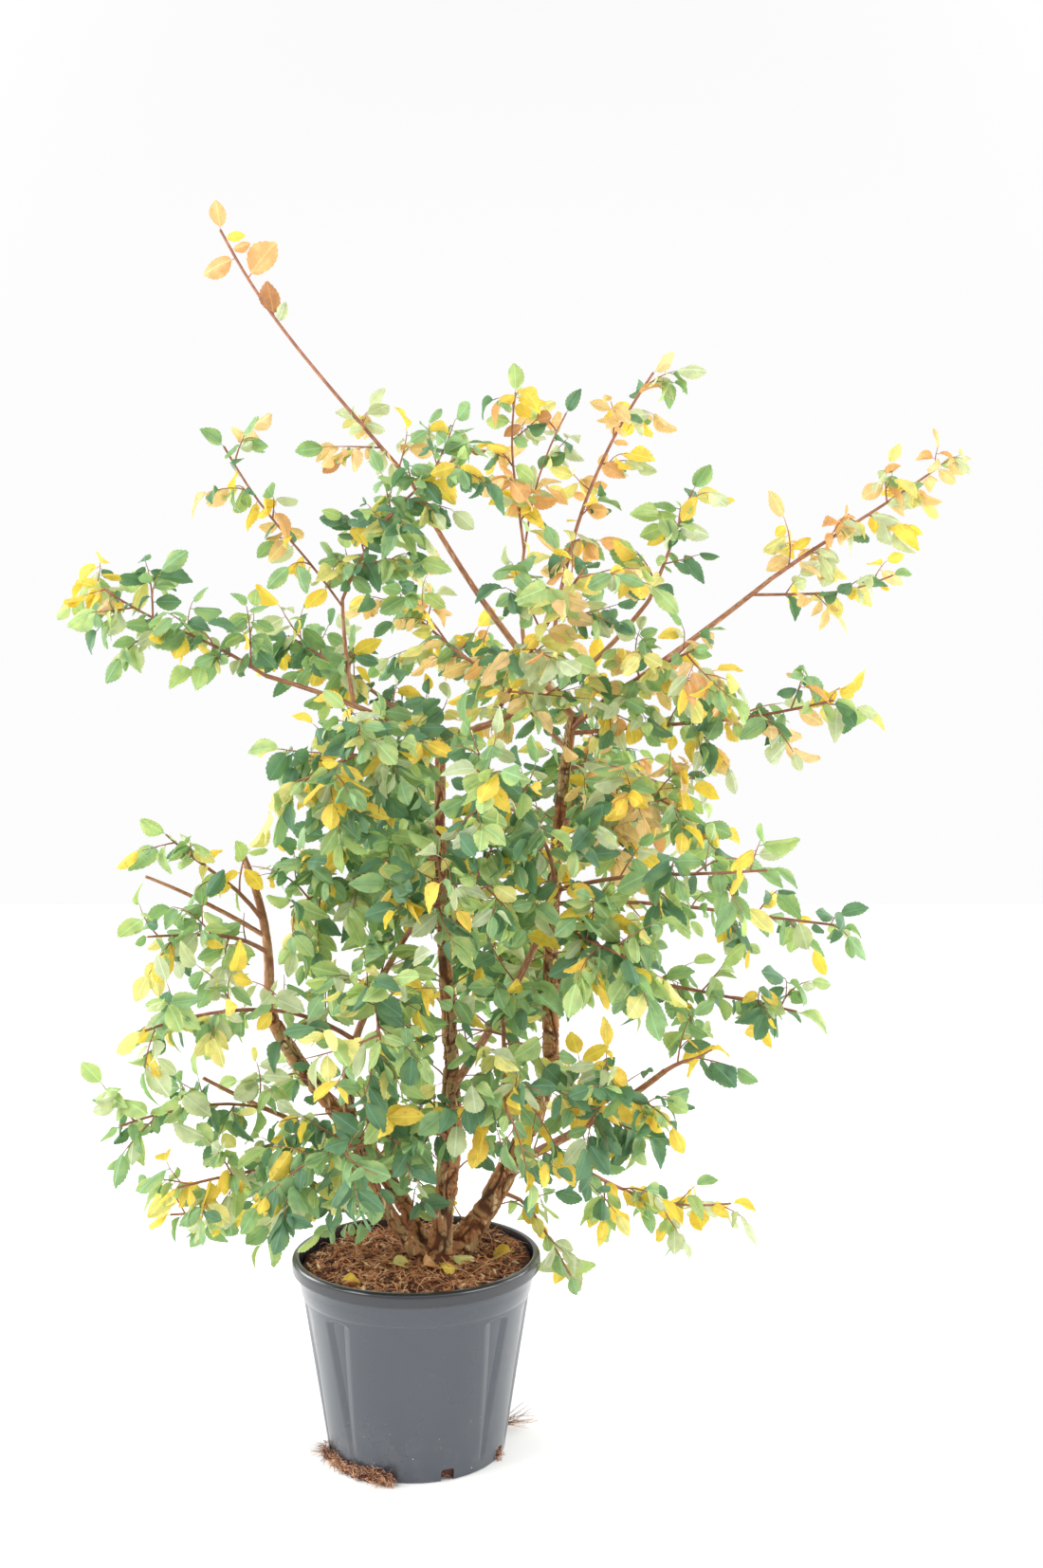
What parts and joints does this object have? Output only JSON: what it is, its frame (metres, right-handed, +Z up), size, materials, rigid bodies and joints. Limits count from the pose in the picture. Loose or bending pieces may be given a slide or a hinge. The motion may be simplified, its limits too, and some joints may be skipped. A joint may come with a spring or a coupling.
{
  "type": "potted field elm",
  "caption": "Young many-stemmed field elm with corky bark and loose leafy boughs in early autumn colour, standing in a round nursery container of bark mulch.",
  "frame": {"origin": "centre of the pot's flat underside, on the ground it stands on", "axes": "+Z up, +X to the right of the pictured front, +Y away from the viewer of that front"},
  "size_m": [1.5133, 0.9595, 2.0687],
  "materials": {
    "pot_plastic": "blue-grey moulded polypropylene, slightly glossy",
    "bark_mulch": "coarse fibrous bark and coir, moist",
    "corky_bark": "thick corky bark with long ridges and deep fissures",
    "young_bark": "thin reddish-brown bark with fine corky streaks",
    "foliage": "thin matt leaves, mid green with yellow and orange autumn tints"
  },
  "bodies": {
    "root": {"pot": "pot_plastic", "soil": "bark_mulch", "stem_centre": "corky_bark", "stem_right_foot": "corky_bark", "stem_right": "corky_bark", "stem_left_outer": "corky_bark", "stem_left_inner": "corky_bark", "bough_left_upright": "young_bark", "bough_left_bare": "young_bark", "bough_low_left": "young_bark", "bough_inner": "young_bark", "bough_right_low": "young_bark", "bough_centre_right": "young_bark", "bough_top_right": "young_bark", "bough_top_left": "young_bark", "bough_left_riser": "young_bark", "bough_leader": "young_bark", "bough_far_right": "young_bark", "bough_top": "young_bark", "leaves_leader": "foliage", "leaves_top_front": "foliage", "leaves_top_centre": "foliage", "leaves_top_back": "foliage", "leaves_fork_right": "foliage", "leaves_top_right": "foliage", "leaves_far_right": "foliage", "leaves_mid_right": "foliage", "leaves_right_middle": "foliage", "leaves_top_left": "foliage", "leaves_left_riser": "foliage", "leaves_upper_left": "foliage", "leaves_fork_front": "foliage", "leaves_left_front": "foliage", "leaves_left_middle": "foliage", "leaves_centre_left": "foliage", "leaves_left_outer": "foliage", "leaves_left_arm": "foliage", "leaves_left_low_front": "foliage", "leaves_inner_left": "foliage", "leaves_low_left": "foliage", "leaves_low_front_left": "foliage", "leaves_rim_left": "foliage", "leaves_right_back": "foliage", "leaves_front_right": "foliage", "leaves_right_outer": "foliage", "leaves_right_lower": "foliage", "leaves_right_low": "foliage", "leaves_rim_right": "foliage", "leaves_rim_front": "foliage", "leaves_foreground": "foliage", "leaves_centre_front": "foliage", "leaves_low_centre": "foliage", "leaves_low_right": "foliage", "leaves_inner_right": "foliage", "leaves_far_right_low": "foliage", "leaves_inner_low": "foliage", "leaves_back_low": "foliage", "leaves_back_middle": "foliage", "leaves_back_high": "foliage", "leaves_back_right": "foliage"}
  },
  "joints": []
}
